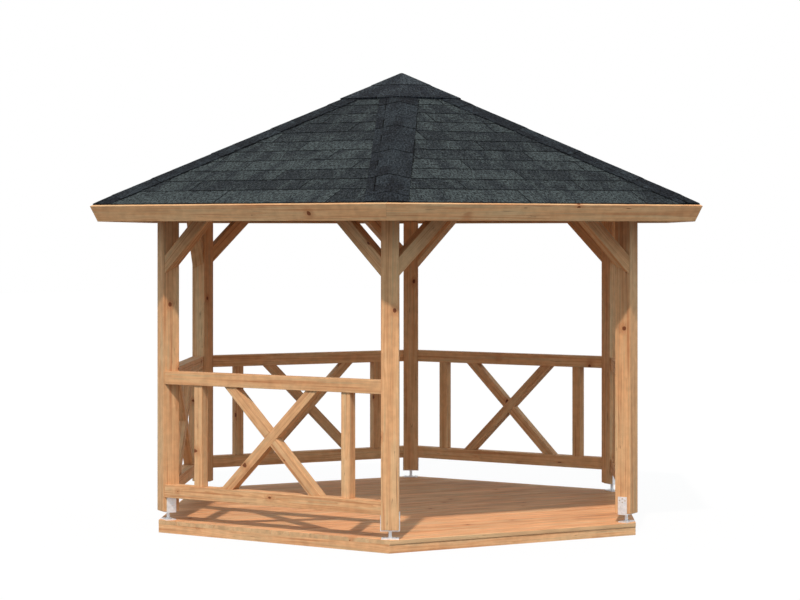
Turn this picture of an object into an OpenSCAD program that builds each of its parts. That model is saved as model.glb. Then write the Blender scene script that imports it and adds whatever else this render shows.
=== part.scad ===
// Hexagonal open timber gazebo with a shingled pyramid roof.
// Millimetres, +Z up, origin on the ground under the middle of the floor.
// The entrance side faces -Y and the six posts stand at the corners of the hexagon.

/* [Plan] */
// Distance from the middle of the floor to the middle of each post
post_r = 1884; // [1600:1:2300]

/* [Deck] */
// Distance from a post's middle out to the deck's corner
deck_edge = 74; // [72:1:160]
// Thickness of the floor boards
deck_board_t = 28; // [20:1:40]
// Height of the rim and the joists under the boards
deck_frame_h = 60; // [40:1:140]
// Thickness of the rim boards
deck_rim_t = 45; // [30:1:60]
// Overhang of the first and the last floor board beyond the rim
edge_lip = 6; // [2:1:25]
// Overhang of the floor boards' ends beyond the rim
end_lip = 1; // [0.5:0.5:15]
// Thickness of a joist
joist_t = 45; // [30:1:60]
// Spacing of the joists, middle to middle
joist_pitch = 480; // [350:1:600]

/* [Posts] */
// Side of the square posts
post_w = 120; // [100:1:140]
// Length of the posts
post_h = 2080; // [1900:1:2400]
// Gap between the deck and the underside of the posts
post_lift = 64; // [45:1:100]

/* [Post feet] */
// Width of the side straps of a post foot
strap_w = 70; // [40:1:90]
// Height of the straps above the post's underside
strap_h = 119; // [80:1:200]
// Thickness of the straps
strap_t = 5; // [3:0.5:8]
// Thickness of the seat plate under the post
seat_t = 8; // [4:0.5:12]
// Diameter of the threaded rod
rod_d = 22; // [16:1:30]
// Length of the base plate, along the hexagon
base_l = 118; // [80:1:124]
// Width of the base plate, towards the middle
base_w = 72; // [50:1:74]
// Thickness of the base plate
base_t = 8; // [4:0.5:12]

/* [Railing] */
// Depth of the rails
rail_d = 92; // [60:1:100]
// Height of the rails
rail_h = 92; // [60:1:120]
// Setback of the rails' outer face from the line through the posts' outer corners
rail_setback = 6; // [3:1:12]
// Gap between the deck and the bottom rail
railing_lift = 166; // [100:1:220]
// Height of the railing from the bottom rail's underside to the top rail's top
railing_h = 898; // [700:1:1100]
// Side of the square balusters and diagonals
infill_w = 70; // [45:1:75]
// Distance between the two balusters of a panel, middle to middle
baluster_pitch = 1248; // [1000:1:1400]
// Distance between the feet of a panel's two diagonals, middle to middle
cross_foot_span = 748; // [600:1:800]
// Distance between the heads of a panel's two diagonals, middle to middle
cross_head_span = 690; // [550:1:780]
// Clearance of the housing that each bottom rail has over a strap
housing_clear = 1; // [0.5:0.5:3]

/* [Roof frame] */
// Width of the ring beams and of the knee braces
beam_w = 92; // [60:1:100]
// Height of the ring beams
beam_h = 160; // [120:1:200]
// Face width of the knee braces
brace_w = 90; // [60:1:110]
// Height of a knee brace along the post
brace_h = 360; // [300:1:500]
// Thickness of the rafters
rafter_t = 60; // [45:1:64]
// Height of the rafters
rafter_h = 160; // [140:1:200]
// Depth of the hip rafters' seat over the middle of a post
rafter_seat = 24; // [10:1:35]
// Distance from the middle of the hub to its flat faces
hub_r = 125; // [122:1:180]
// Length of the hub below the rafters
hub_tail = 30; // [10:1:120]

/* [Roof] */
// Slope of the roof faces
pitch = 25; // [21:0.5:30]
// Distance from the middle to the fascia's top corners
eave_r = 2474; // [2380:1:2650]
// Thickness of the roof boarding
roof_board_t = 19; // [15:1:28]
// Width of the fascia boards
fascia_w = 120; // [100:1:150]
// Thickness of the fascia boards
fascia_t = 21; // [15:1:30]
// Height of the level cut on the rafter tails above the fascia's lower edge
tail_reveal = 12; // [4:1:30]

/* [Shingles] */
// Visible height of a course of shingles
course_h = 170; // [100:1:200]
// Visible height of the lowest course
eave_course_h = 214; // [100:1:260]
// Thickness of the covering at the lower edge of a course
course_butt_t = 7; // [5:0.5:12]
// Thickness of the covering at the upper edge of a course
course_head_t = 3; // [2:0.5:4]
// Width of the hip caps, measured level
hip_cap_w = 292; // [160:1:320]
// Thickness of the hip caps
hip_cap_t = 5.5; // [3:0.5:10]
// Distance from the middle to the corners of the apex cap
apex_cap_r = 508; // [400:1:700]
// Thickness of the apex cap
apex_cap_t = 8.5; // [4:0.5:15]
// Lap of the hip caps under the apex cap
apex_lap = 60; // [20:1:120]

/* [Hidden] */

timber = [0.80, 0.61, 0.43];
timber_shade = [0.74, 0.55, 0.38];
bitumen = [0.23, 0.25, 0.25];
zinc = [0.82, 0.83, 0.84];

// Half of the angle between two neighbouring corners of the hexagon
half_turn = 30;
// Side 0 is the entrance. Side i runs from post i to post i + 1.
sides = [0 : 5];
railed_sides = [1 : 5];
side_angles = [270, 330, 30, 90, 150, 210];
post_angles = [240, 300, 0, 60, 120, 180];

// Levels
deck_z = deck_frame_h + deck_board_t;
post_z = deck_z + post_lift;
beam_z = post_z + post_h;
beam_top = beam_z + beam_h;
railing_z = deck_z + railing_lift;
railing_top = railing_z + railing_h;
infill_z0 = railing_z + rail_h;
infill_z1 = railing_top - rail_h;

// Distances of the sides' faces from the middle
deck_r = post_r + deck_edge;
post_line = post_r * cos(half_turn);
corner_line = post_line + post_w / 2 * (cos(half_turn) + sin(half_turn));
rail_outer = corner_line - rail_setback;
rail_middle = rail_outer - rail_d / 2;

// Roof planes: the boards' upper planes meet at board_apex_z, their undersides at under_apex_z
hip_pitch = atan(tan(pitch) * cos(half_turn));
under_apex_z = beam_top - rafter_seat + rafter_h / cos(hip_pitch) + post_line * tan(pitch);
board_apex_z = under_apex_z + roof_board_t / cos(pitch);
eave_line = eave_r * cos(half_turn);
fascia_u = eave_line / cos(pitch);
boards_u = fascia_u - fascia_t;
fascia_low_z = board_apex_z - fascia_u * sin(pitch) - fascia_w * cos(pitch);
tail_z = fascia_low_z + fascia_t * sin(pitch) + tail_reveal;
apex_cap_n = course_butt_t + hip_cap_t;

// A size larger than the whole gazebo, for cutting solids
big = 2 * eave_r;

// Where a post's side face crosses the line at distance a from the middle
function post_face(a) =
  post_r / 2 + ((a - post_line) * sin(half_turn) - post_w / 2) / cos(half_turn);

// Height of the roof boards' underside at distance a from the middle, square to an eave
function under_z(a) = under_apex_z - a * tan(pitch);

// X points out through the side, Y along it
module at_side(i) rotate([0, 0, side_angles[i]]) children();

// X points out along the corner, Y along the hexagon
module at_post(i) rotate([0, 0, post_angles[i % 6]]) translate([post_r, 0, 0]) children();

// Outline of an upright plane figure (distance along the side, height) made into a slab at distance a
module upright(a, depth) translate([a, 0, 0]) rotate([90, 0, 90]) linear_extrude(depth) children();

// Prism between the two posts of a side, mitred against their side faces
module bay(a0, a1, z0, z1) {
  translate([0, 0, z0])
    linear_extrude(z1 - z0)
      polygon([[a0, -post_face(a0)], [a1, -post_face(a1)], [a1, post_face(a1)], [a0, post_face(a0)]]);
}

// Prism of a side between the vertical planes through its two corners
module sector(a0, a1, z0, z1) {
  translate([0, 0, z0])
    linear_extrude(z1 - z0)
      polygon([[a0, -a0 * tan(half_turn)], [a1, -a1 * tan(half_turn)],
               [a1, a1 * tan(half_turn)], [a0, a0 * tan(half_turn)]]);
}

// Frame on the upper plane of the roof boards: X down the slope, Y along the eave, Z off the roof
module on_slope(i) at_side(i) translate([0, 0, board_apex_z]) rotate([0, pitch, 0]) children();

// Layer of one roof face, u down the slope and n off the boards' upper plane, mitred at the hips
module roof_layer(i, u0, u1, n0, n1) {
  intersection() {
    on_slope(i) translate([u0, -eave_r, n0]) cube([u1 - u0, 2 * eave_r, n1 - n0]);
    at_side(i) sector(0, eave_r, 0, big);
  }
}

// Everything above the underside of the boards of one roof face
module above_underside(i) {
  on_slope(i) translate([-big, -big, -roof_board_t]) cube([2 * big, 2 * big, big]);
}

// Everything outside the back of one fascia board
module beyond_fascia(i) {
  on_slope(i) translate([boards_u, -big, -big]) cube([big, 2 * big, 2 * big]);
}

module deck_floor() {
  color(timber)
    translate([0, 0, deck_frame_h])
      linear_extrude(deck_board_t) circle(r = deck_r, $fn = 6);
}

// Distance from the middle to the corners of the deck's frame, set in from its outer faces
function frame_r(inset) = deck_r - (end_lip + inset) / cos(half_turn);

// Outline of the deck's frame, set further back along the entrance and the back
module frame_outline(inset) {
  depth = deck_r * cos(half_turn) - edge_lip - inset;
  intersection() {
    circle(r = frame_r(inset), $fn = 6);
    square([2 * deck_r, 2 * depth], center = true);
  }
}

module deck_rim() {
  color(timber)
    linear_extrude(deck_frame_h)
      difference() {
        frame_outline(0);
        frame_outline(deck_rim_t);
      }
}

module deck_joists() {
  joist_count = floor((frame_r(deck_rim_t) - joist_t) / joist_pitch);
  color(timber_shade)
    linear_extrude(deck_frame_h)
      intersection() {
        frame_outline(deck_rim_t);
        for (k = [-joist_count : joist_count])
          translate([k * joist_pitch - joist_t / 2, -deck_r]) square([joist_t, 2 * deck_r]);
      }
}

// Adjustable foot: base plate, rod, seat plate and two straps beside the post
module post_foot() {
  translate([-base_w / 2, -base_l / 2, deck_z]) cube([base_w, base_l, base_t]);
  translate([0, 0, deck_z]) cylinder(d = rod_d, h = post_lift, $fn = 48);
  difference() {
    translate([-strap_w / 2, -post_w / 2 - strap_t, post_z - seat_t])
      cube([strap_w, post_w + 2 * strap_t, seat_t + strap_h]);
    translate([-strap_w, -post_w / 2, post_z]) cube([2 * strap_w, post_w, 2 * strap_h]);
  }
}

module post_feet() {
  color(zinc) for (i = sides) at_post(i) post_foot();
}

module post(i) {
  color(timber)
    at_post(i) translate([-post_w / 2, -post_w / 2, post_z]) cube([post_w, post_w, post_h]);
}

// Room that a foot's straps need in the ends of the bottom rails
module strap_housing() {
  width = strap_w + 2 * housing_clear;
  across = post_w + 2 * (strap_t + housing_clear);
  translate([-width / 2, -across / 2, post_z])
    cube([width, across, strap_h + housing_clear]);
}

module rail(i, z) {
  at_side(i) bay(rail_outer - rail_d, rail_outer, z, z + rail_h);
}

module top_rails() {
  color(timber) for (i = railed_sides) rail(i, infill_z1);
}

module bottom_rails() {
  color(timber)
    for (i = railed_sides)
      difference() {
        rail(i, railing_z);
        at_post(i) strap_housing();
        at_post(i + 1) strap_housing();
      }
}

module railing_balusters() {
  color(timber)
    for (i = railed_sides, way = [-1, 1])
      at_side(i)
        translate([rail_middle - infill_w / 2, way * baluster_pitch / 2 - infill_w / 2, infill_z0])
          cube([infill_w, infill_w, infill_z1 - infill_z0]);
}

// Face outline of a diagonal between the rails, rising towards way
module diagonal_face(way) {
  foot = -way * cross_foot_span / 2;
  head = way * cross_head_span / 2;
  half_w = infill_w / 2 / sin(atan2(infill_z1 - infill_z0, abs(head - foot)));
  polygon([[foot - half_w, infill_z0], [foot + half_w, infill_z0],
           [head + half_w, infill_z1], [head - half_w, infill_z1]]);
}

// One diagonal with the half lap where the other one crosses it
module lapped_diagonal(way, lap_a) {
  difference() {
    upright(rail_middle - infill_w / 2, infill_w) diagonal_face(way);
    upright(lap_a, infill_w) diagonal_face(-way);
  }
}

module railing_rising_diagonals() {
  color(timber) for (i = railed_sides) at_side(i) lapped_diagonal(1, rail_middle - infill_w);
}

module railing_falling_diagonals() {
  color(timber) for (i = railed_sides) at_side(i) lapped_diagonal(-1, rail_middle);
}

// Brace at 45 degrees from a post's side face up to the ring beam's underside
module knee_brace(way) {
  heel = post_face(rail_middle);
  rise = brace_w / cos(45);
  intersection() {
    bay(rail_middle - beam_w / 2, rail_middle + beam_w / 2, post_z, beam_z);
    upright(rail_middle - beam_w / 2, beam_w)
      polygon([[way * (heel - brace_h), beam_z],
               [way * (heel - brace_h + rise), beam_z],
               [way * (heel + brace_h), beam_z - 2 * brace_h + rise],
               [way * (heel + brace_h), beam_z - 2 * brace_h]]);
  }
}

module knee_braces() {
  color(timber) for (i = sides, way = [-1, 1]) at_side(i) knee_brace(way);
}

module ring_beam(i) {
  at_side(i) sector(rail_middle - beam_w / 2, rail_middle + beam_w / 2, beam_z, beam_top);
}

module beam(i) {
  color(timber) ring_beam(i);
}

// Rafter as a sloping slab of the full rafter height, before its seat and tail are cut
module rafter_blank(slope, top_z) {
  drop = rafter_h / cos(slope);
  end_a = eave_r;
  rotate([90, 0, 0])
    translate([0, 0, -rafter_t / 2])
      linear_extrude(rafter_t)
        polygon([[hub_r, top_z - hub_r * tan(slope)], [end_a, top_z - end_a * tan(slope)],
                 [end_a, top_z - end_a * tan(slope) - drop], [hub_r, top_z - hub_r * tan(slope) - drop]]);
}

// Everything below the level cut on the rafter tails, outside the ring beams
module below_tails() {
  difference() {
    translate([-big, -big, 0]) cube([2 * big, 2 * big, tail_z]);
    translate([0, 0, -1]) linear_extrude(big) circle(r = post_r, $fn = 6);
  }
}

// Hip rafter: bevelled along its top under two roof faces, seated over the mitre of two beams
module hip_rafter(i) {
  before = (i + 5) % 6;
  difference() {
    rotate([0, 0, post_angles[i]]) rafter_blank(hip_pitch, under_apex_z);
    for (k = [before, i]) {
      above_underside(k);
      beyond_fascia(k);
      ring_beam(k);
    }
    below_tails();
  }
}

module hip_rafters() {
  color(timber_shade) for (i = sides) hip_rafter(i);
}

module common_rafters() {
  color(timber_shade)
    for (i = sides)
      difference() {
        at_side(i) rafter_blank(pitch, under_apex_z);
        beyond_fascia(i);
        ring_beam(i);
        below_tails();
      }
}

// Twelve-sided block that the rafters butt against, pointed under the boards
module roof_hub() {
  hub_low_z = under_z(hub_r) - rafter_h / cos(pitch) - hub_tail;
  color(timber_shade)
    difference() {
      translate([0, 0, hub_low_z])
        rotate([0, 0, half_turn / 2])
          cylinder(r = hub_r / cos(half_turn / 2), h = under_apex_z - hub_low_z, $fn = 12);
      for (i = sides) above_underside(i);
    }
}

module roof_boards(i) {
  color(timber_shade) roof_layer(i, 0, boards_u, -roof_board_t, 0);
}

module fascia(i) {
  color(timber) roof_layer(i, boards_u, fascia_u, -fascia_w, 0);
}

// Stepped profile of the courses, from the apex down to the eave
module course_profile() {
  last_u = boards_u - eave_course_h;
  count = floor(last_u / course_h);
  butts = [for (k = [0 : count]) last_u - (count - k) * course_h];
  heads = [for (k = [1 : count]) each [[butts[k - 1], course_head_t], [butts[k], course_butt_t]]];
  polygon(concat([[0, 0], [0, course_butt_t], [butts[0], course_butt_t]], heads,
                 [[last_u, course_head_t], [boards_u, course_butt_t], [boards_u, 0]]));
}

module shingles(i) {
  color(bitumen)
    intersection() {
      on_slope(i)
        translate([0, eave_r, 0])
          rotate([90, 0, 0])
            linear_extrude(2 * eave_r) course_profile();
      at_side(i) sector(0, eave_r, 0, big);
    }
}

// Everything that lies under the plane at height n off the boards on all the given roof faces
module under_planes(faces, n) {
  difference() {
    translate([-big, -big, 0]) cube([2 * big, 2 * big, big]);
    for (k = faces)
      on_slope(k) translate([-big, -big, n]) cube([3 * big, 2 * big, 2 * big]);
  }
}

// Strip of cap shingles folded over one hip
module hip_cap(i) {
  faces = [(i + 5) % 6, i];
  cap_start = apex_cap_r - apex_lap;
  difference() {
    intersection() {
      under_planes(faces, apex_cap_n);
      rotate([0, 0, post_angles[i]])
        translate([cap_start, -hip_cap_w / 2, tail_z]) cube([eave_r, hip_cap_w, big]);
    }
    under_planes(faces, course_butt_t);
    for (k = faces) beyond_fascia(k);
  }
}

module hip_caps() {
  color(bitumen) for (i = sides) hip_cap(i);
}

// Small pyramid over the ends of the hip caps
module apex_cap() {
  color(bitumen)
    difference() {
      intersection() {
        under_planes(sides, apex_cap_n + apex_cap_t);
        translate([0, 0, tail_z]) linear_extrude(big) circle(r = apex_cap_r, $fn = 6);
      }
      under_planes(sides, apex_cap_n);
    }
}

deck_floor();
deck_rim();
deck_joists();
post_feet();
post(0);  // post_front_left
post(1);  // post_front_right
post(2);  // post_right
post(3);  // post_back_right
post(4);  // post_back_left
post(5);  // post_left
top_rails();
bottom_rails();
railing_balusters();
railing_rising_diagonals();
railing_falling_diagonals();
knee_braces();
beam(0);  // beam_front
beam(1);  // beam_front_right
beam(2);  // beam_back_right
beam(3);  // beam_back
beam(4);  // beam_back_left
beam(5);  // beam_front_left
hip_rafters();
common_rafters();
roof_hub();
roof_boards(0);  // roof_boards_front
roof_boards(1);  // roof_boards_front_right
roof_boards(2);  // roof_boards_back_right
roof_boards(3);  // roof_boards_back
roof_boards(4);  // roof_boards_back_left
roof_boards(5);  // roof_boards_front_left
fascia(0);  // fascia_front
fascia(1);  // fascia_front_right
fascia(2);  // fascia_back_right
fascia(3);  // fascia_back
fascia(4);  // fascia_back_left
fascia(5);  // fascia_front_left
shingles(0);  // shingles_front
shingles(1);  // shingles_front_right
shingles(2);  // shingles_back_right
shingles(3);  // shingles_back
shingles(4);  // shingles_back_left
shingles(5);  // shingles_front_left
hip_caps();
apex_cap();
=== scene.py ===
import math
import random

import bmesh
import bpy
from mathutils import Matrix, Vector


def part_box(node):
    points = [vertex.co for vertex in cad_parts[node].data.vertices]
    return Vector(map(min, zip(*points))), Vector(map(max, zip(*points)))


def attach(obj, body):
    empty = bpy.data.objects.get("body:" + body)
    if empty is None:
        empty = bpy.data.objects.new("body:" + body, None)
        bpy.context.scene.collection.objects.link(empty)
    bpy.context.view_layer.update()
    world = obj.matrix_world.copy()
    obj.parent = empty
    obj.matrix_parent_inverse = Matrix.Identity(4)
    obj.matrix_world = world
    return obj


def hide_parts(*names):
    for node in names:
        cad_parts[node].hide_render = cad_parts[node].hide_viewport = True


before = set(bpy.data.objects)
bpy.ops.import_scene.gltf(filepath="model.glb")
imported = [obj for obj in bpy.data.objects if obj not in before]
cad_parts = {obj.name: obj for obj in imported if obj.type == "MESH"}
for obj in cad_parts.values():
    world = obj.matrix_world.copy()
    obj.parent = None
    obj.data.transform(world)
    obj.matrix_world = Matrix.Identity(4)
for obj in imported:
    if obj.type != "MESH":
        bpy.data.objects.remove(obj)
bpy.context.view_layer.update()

# Plan of the hexagon: side i runs from post i to post i + 1, and side 0 is the entrance
SIDES = ("front", "front_right", "back_right", "back", "back_left", "front_left")
SIDE_ANGLES = [math.radians(a) for a in (270, 330, 30, 90, 150, 210)]
POSTS = ("front_left", "front_right", "right", "back_right", "back_left", "left")
POST_ANGLES = [math.radians(a) for a in (240, 300, 0, 60, 120, 180)]
HALF_TURN = math.radians(30)
COS_HALF = math.cos(HALF_TURN)
SIN_HALF = math.sin(HALF_TURN)
TAN_HALF = math.tan(HALF_TURN)
UP = (0, 0, 1)
# The deck's boards run along the entrance
BOARD_WAY = (1, 0, 0)


def plan(angle, out, along=0.0, z=0.0):
    """Point at a distance out from the middle in the direction of an angle, and along square to it."""
    return Vector((out * math.cos(angle) - along * math.sin(angle),
                   out * math.sin(angle) + along * math.cos(angle), z))


def node_points(node):
    return [v.co.copy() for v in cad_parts[node].data.vertices]


def flat_length(p):
    return math.hypot(p.x, p.y)


def in_scene(name, data):
    """A new object in the scene."""
    obj = bpy.data.objects.new(name, data)
    bpy.context.scene.collection.objects.link(obj)
    return obj


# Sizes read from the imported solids
roof_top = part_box("roof_boards_front")[1].z
roof_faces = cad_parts["roof_boards_front"].data.polygons
roof_normal = max((p for p in roof_faces if p.normal.z > 0), key=lambda p: p.area).normal
PITCH = math.acos(roof_normal.z)
COS_PITCH = math.cos(PITCH)
SIN_PITCH = math.sin(PITCH)
TAN_PITCH = math.tan(PITCH)


def slope_place(p):
    """Distance down the front roof face and height off its boards."""
    down = roof_top - p.z
    out = -p.y
    return out * COS_PITCH + down * SIN_PITCH, out * SIN_PITCH - down * COS_PITCH


def on_slope(side, u, y, n):
    """Point on a roof face: u down the slope, y along the eave, n off the boards' upper plane."""
    z = roof_top - u * SIN_PITCH + n * COS_PITCH
    return plan(SIDE_ANGLES[side], u * COS_PITCH + n * SIN_PITCH, y, z)


def slope_normal(side):
    """Direction square to a roof face."""
    return on_slope(side, 0, 0, 1) - on_slope(side, 0, 0, 0)


def eave_way(side):
    """Direction along the eave of a roof face."""
    return plan(SIDE_ANGLES[side], 0, 1)


def hip_reach(u, n):
    """How far a roof face reaches along the eave from its middle to the hip."""
    return (u * COS_PITCH + n * SIN_PITCH) * TAN_HALF


# The felt starts this far down from the apex
FELT_TOP = 0.02
# Points of shingles above this share of the greatest height are their lower edges
BUTT_SHARE = 0.95
# Half width of the zone that holds the hip and the foot on the right
ZONE = 0.2
# Levels nearer to each other than this are one level
SAME_LEVEL = 0.001

board_places = [slope_place(p) for p in node_points("roof_boards_front")]
boards_u = max(u for u, n in board_places)
roof_board_t = -min(n for u, n in board_places)
shingle_places = [slope_place(p) for p in node_points("shingles_front")]
butt_n = max(n for u, n in shingle_places)
butt_lines = sorted({round(u, 4) for u, n in shingle_places if n > BUTT_SHARE * butt_n})
course_lines = [u for u in butt_lines if u > FELT_TOP]
cap_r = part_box("apex_cap")[1].x
cap_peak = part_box("apex_cap")[1].z
cap_n = (cap_peak - roof_top) * COS_PITCH
hip_n = max(slope_place(p)[1] for p in node_points("hip_caps") if abs(p.x) < -p.y * TAN_HALF)
cap_t = cap_n - hip_n
right_hip = [p for p in node_points("hip_caps") if p.x > cap_r and abs(p.y) < ZONE]
hip_half = max(abs(p.y) for p in right_hip)
hip_start = min(p.x for p in node_points("hip_caps") if abs(p.y) < hip_half and p.x > 0)

deck_lo, deck_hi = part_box("deck_floor")
rim_lo, rim_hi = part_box("deck_rim")
foot_points = node_points("post_feet")
foot_top = max(p.z for p in foot_points)
post_lo, post_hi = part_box("post_right")
post_r = (post_lo.x + post_hi.x) / 2
right_foot = [p for p in foot_points if p.x > post_r - ZONE and abs(p.y) < ZONE]
strap_out = max(abs(p.y) for p in right_foot)
base_top = min(p.z for p in right_foot if p.z > deck_hi.z + SAME_LEVEL)
base_half = max(abs(p.y) for p in right_foot if p.z < base_top + SAME_LEVEL)
seat_low = min(p.z for p in right_foot if abs(abs(p.y) - strap_out) < SAME_LEVEL)
base_points = [p for p in right_foot if abs(p.z - base_top) < SAME_LEVEL / 2]
rod_radius = min(math.hypot(p.x - post_r, p.y) for p in base_points)

# Where a piece of wood lies in its log: the place along the grain, and how far off the heart is
LOG_LENGTH = 40
BOARD_ASIDE = 0.05
BOARD_HEART = (0.05, 0.11)
BEAM_HEART = (0.02, 0.08)
# Edges shorter than this are closed up
SLIVER = 1e-6


class Solids:
    """Closed solids of one piece, with the grain's own coordinates and a tone at each vertex."""

    def __init__(self, seed):
        self.random = random.Random(seed)
        self.points = []
        self.faces = []
        self.grain = []
        self.tones = []
        self.cut = []

    def add(self, points, faces, along=(1, 0, 0), flat=None, cut=None):
        """One solid.

        along is the direction of the grain, flat the normal of a board's wide face, cut tells the cut faces.
        """
        pick = self.random.uniform
        along = Vector(along).normalized()
        deep = Vector(flat).normalized() if flat is not None else along.orthogonal().normalized()
        across = deep.cross(along)
        middle = sum((Vector(p) for p in points), Vector()) / len(points)
        if flat is not None:
            heart = Vector((pick(0, LOG_LENGTH), pick(-BOARD_ASIDE, BOARD_ASIDE),
                            pick(*BOARD_HEART) * self.random.choice((-1, 1))))
        else:
            turn = pick(0, 2 * math.pi)
            far = pick(*BEAM_HEART)
            heart = Vector((pick(0, LOG_LENGTH), far * math.cos(turn), far * math.sin(turn)))
        tone = pick(-1, 1)
        first = len(self.points)
        for p in points:
            d = Vector(p) - middle
            self.points.append(tuple(p))
            self.grain.append(Vector((d.dot(along), d.dot(across), d.dot(deep))) + heart)
            self.tones.append(tone)
        self.faces += [[first + k for k in face] for face in faces]
        self.cut += cut or [0.0] * len(faces)

    def loft(self, rings, along=(1, 0, 0), flat=None, cut_sides=(), cut_ends=False):
        """Solid through rings of points that go round the same way, closed at both ends.

        cut_sides are the places in a ring after which a side is a cut face.
        """
        count = len(rings[0])
        points = [p for ring in rings for p in ring]
        faces = [list(range(count))[::-1]]
        end_cut = 1.0 if cut_ends else 0.0
        cut = [end_cut]
        for k in range(len(rings) - 1):
            for j in range(count):
                a = k * count + j
                b = k * count + (j + 1) % count
                faces.append([a, b, b + count, a + count])
                cut.append(1.0 if j in cut_sides else 0.0)
        last = (len(rings) - 1) * count
        faces.append([last + j for j in range(count)])
        cut.append(end_cut)
        self.add(points, faces, along, flat, cut)

    def piece(self, name, material, slot, *nodes, smooth_below=None):
        """The solids as one object; faces that meet below an angle in degrees are shaded smooth."""
        mesh = bpy.data.meshes.new(name)
        mesh.from_pydata(self.points, [], self.faces)
        grain = mesh.attributes.new("grain", "FLOAT_VECTOR", "POINT")
        grain.data.foreach_set("vector", [x for g in self.grain for x in g])
        tone = mesh.attributes.new("tone", "FLOAT", "POINT")
        tone.data.foreach_set("value", self.tones)
        if any(self.cut):
            cut = mesh.attributes.new("cut", "FLOAT", "FACE")
            cut.data.foreach_set("value", self.cut)
        made = bmesh.new()
        made.from_mesh(mesh)
        bmesh.ops.dissolve_degenerate(made, dist=SLIVER, edges=made.edges)
        bmesh.ops.recalc_face_normals(made, faces=made.faces)
        made.to_mesh(mesh)
        made.free()
        if smooth_below is not None:
            mesh.shade_smooth()
            mesh.set_sharp_from_angle(angle=math.radians(smooth_below))
        mesh.materials.append(material)
        obj = in_scene(name, mesh)
        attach(obj, "root")
        if nodes:
            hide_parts(*nodes)


def srgb(r, g, b):
    """A colour written as it shows on screen, 0 to 255, as the shader takes it."""
    def linear(c):
        c = c / 255
        return c / 12.92 if c <= 0.04045 else ((c + 0.055) / 1.055) ** 2.4
    return (linear(r), linear(g), linear(b), 1.0)


# Sockets of the two colours and of the result on a mix node
MIX_A = 6
MIX_B = 7
MIX_RESULT = 2
# Range that most of a noise lies in
NOISE_LOW = 0.3
NOISE_HIGH = 0.7


class Shader:
    """A material with one Principled surface and short calls for the nodes that feed it."""

    def __init__(self, name):
        self.material = bpy.data.materials.new(name)
        self.material.use_nodes = True
        self.tree = self.material.node_tree
        self.tree.nodes.clear()
        self.surface = self.tree.nodes.new("ShaderNodeBsdfPrincipled")
        output = self.tree.nodes.new("ShaderNodeOutputMaterial")
        self.tree.links.new(self.surface.outputs[0], output.inputs["Surface"])

    def put(self, socket, value):
        if isinstance(value, bpy.types.NodeSocket):
            self.tree.links.new(value, socket)
        else:
            socket.default_value = value

    def math(self, operation, a, b=0.0):
        node = self.tree.nodes.new("ShaderNodeMath")
        node.operation = operation
        self.put(node.inputs[0], a)
        self.put(node.inputs[1], b)
        return node.outputs[0]

    def add(self, a, b):
        return self.math("ADD", a, b)

    def take(self, a, b):
        return self.math("SUBTRACT", a, b)

    def times(self, a, b):
        return self.math("MULTIPLY", a, b)

    def length(self, a, b):
        return self.math("SQRT", self.add(self.times(a, a), self.times(b, b)))

    def attribute(self, name):
        node = self.tree.nodes.new("ShaderNodeAttribute")
        node.attribute_name = name
        return node

    def place(self):
        return self.tree.nodes.new("ShaderNodeTexCoord").outputs["Object"]

    def split(self, vector):
        node = self.tree.nodes.new("ShaderNodeSeparateXYZ")
        self.put(node.inputs[0], vector)
        return node.outputs[0], node.outputs[1], node.outputs[2]

    def join(self, x, y, z):
        node = self.tree.nodes.new("ShaderNodeCombineXYZ")
        self.put(node.inputs[0], x)
        self.put(node.inputs[1], y)
        self.put(node.inputs[2], z)
        return node.outputs[0]

    def noise(self, vector, scale=1.0, detail=2.0, roughness=0.5):
        node = self.tree.nodes.new("ShaderNodeTexNoise")
        self.put(node.inputs["Vector"], vector)
        node.inputs["Scale"].default_value = scale
        node.inputs["Detail"].default_value = detail
        node.inputs["Roughness"].default_value = roughness
        return node

    def cells(self, vector, scale=1.0, dimensions="3D"):
        node = self.tree.nodes.new("ShaderNodeTexVoronoi")
        node.voronoi_dimensions = dimensions
        self.put(node.inputs["Vector"], vector)
        node.inputs["Scale"].default_value = scale
        return node

    def span(self, value, low, high, to_low=0.0, to_high=1.0, smooth=True):
        """Value carried from low..high to to_low..to_high and held there at both ends."""
        node = self.tree.nodes.new("ShaderNodeMapRange")
        node.interpolation_type = "SMOOTHSTEP" if smooth else "LINEAR"
        self.put(node.inputs[0], value)
        self.put(node.inputs[1], low)
        self.put(node.inputs[2], high)
        self.put(node.inputs[3], to_low)
        self.put(node.inputs[4], to_high)
        return node.outputs[0]

    def noise_span(self, value, to_low, to_high):
        """A noise carried to a range."""
        return self.span(value, NOISE_LOW, NOISE_HIGH, to_low, to_high)

    def mix(self, share, a, b):
        node = self.tree.nodes.new("ShaderNodeMix")
        node.data_type = "RGBA"
        self.put(node.inputs[0], share)
        self.put(node.inputs[MIX_A], a)
        self.put(node.inputs[MIX_B], b)
        return node.outputs[MIX_RESULT]

    def shade(self, colour, factor):
        """The colour made lighter or darker by a factor."""
        node = self.tree.nodes.new("ShaderNodeVectorMath")
        node.operation = "SCALE"
        self.put(node.inputs[0], colour)
        self.put(node.inputs["Scale"], factor)
        return node.outputs[0]

    def bump(self, height, strength, distance):
        node = self.tree.nodes.new("ShaderNodeBump")
        node.inputs["Strength"].default_value = strength
        node.inputs["Distance"].default_value = distance
        self.put(node.inputs["Height"], height)
        self.put(self.surface.inputs["Normal"], node.outputs[0])


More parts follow.
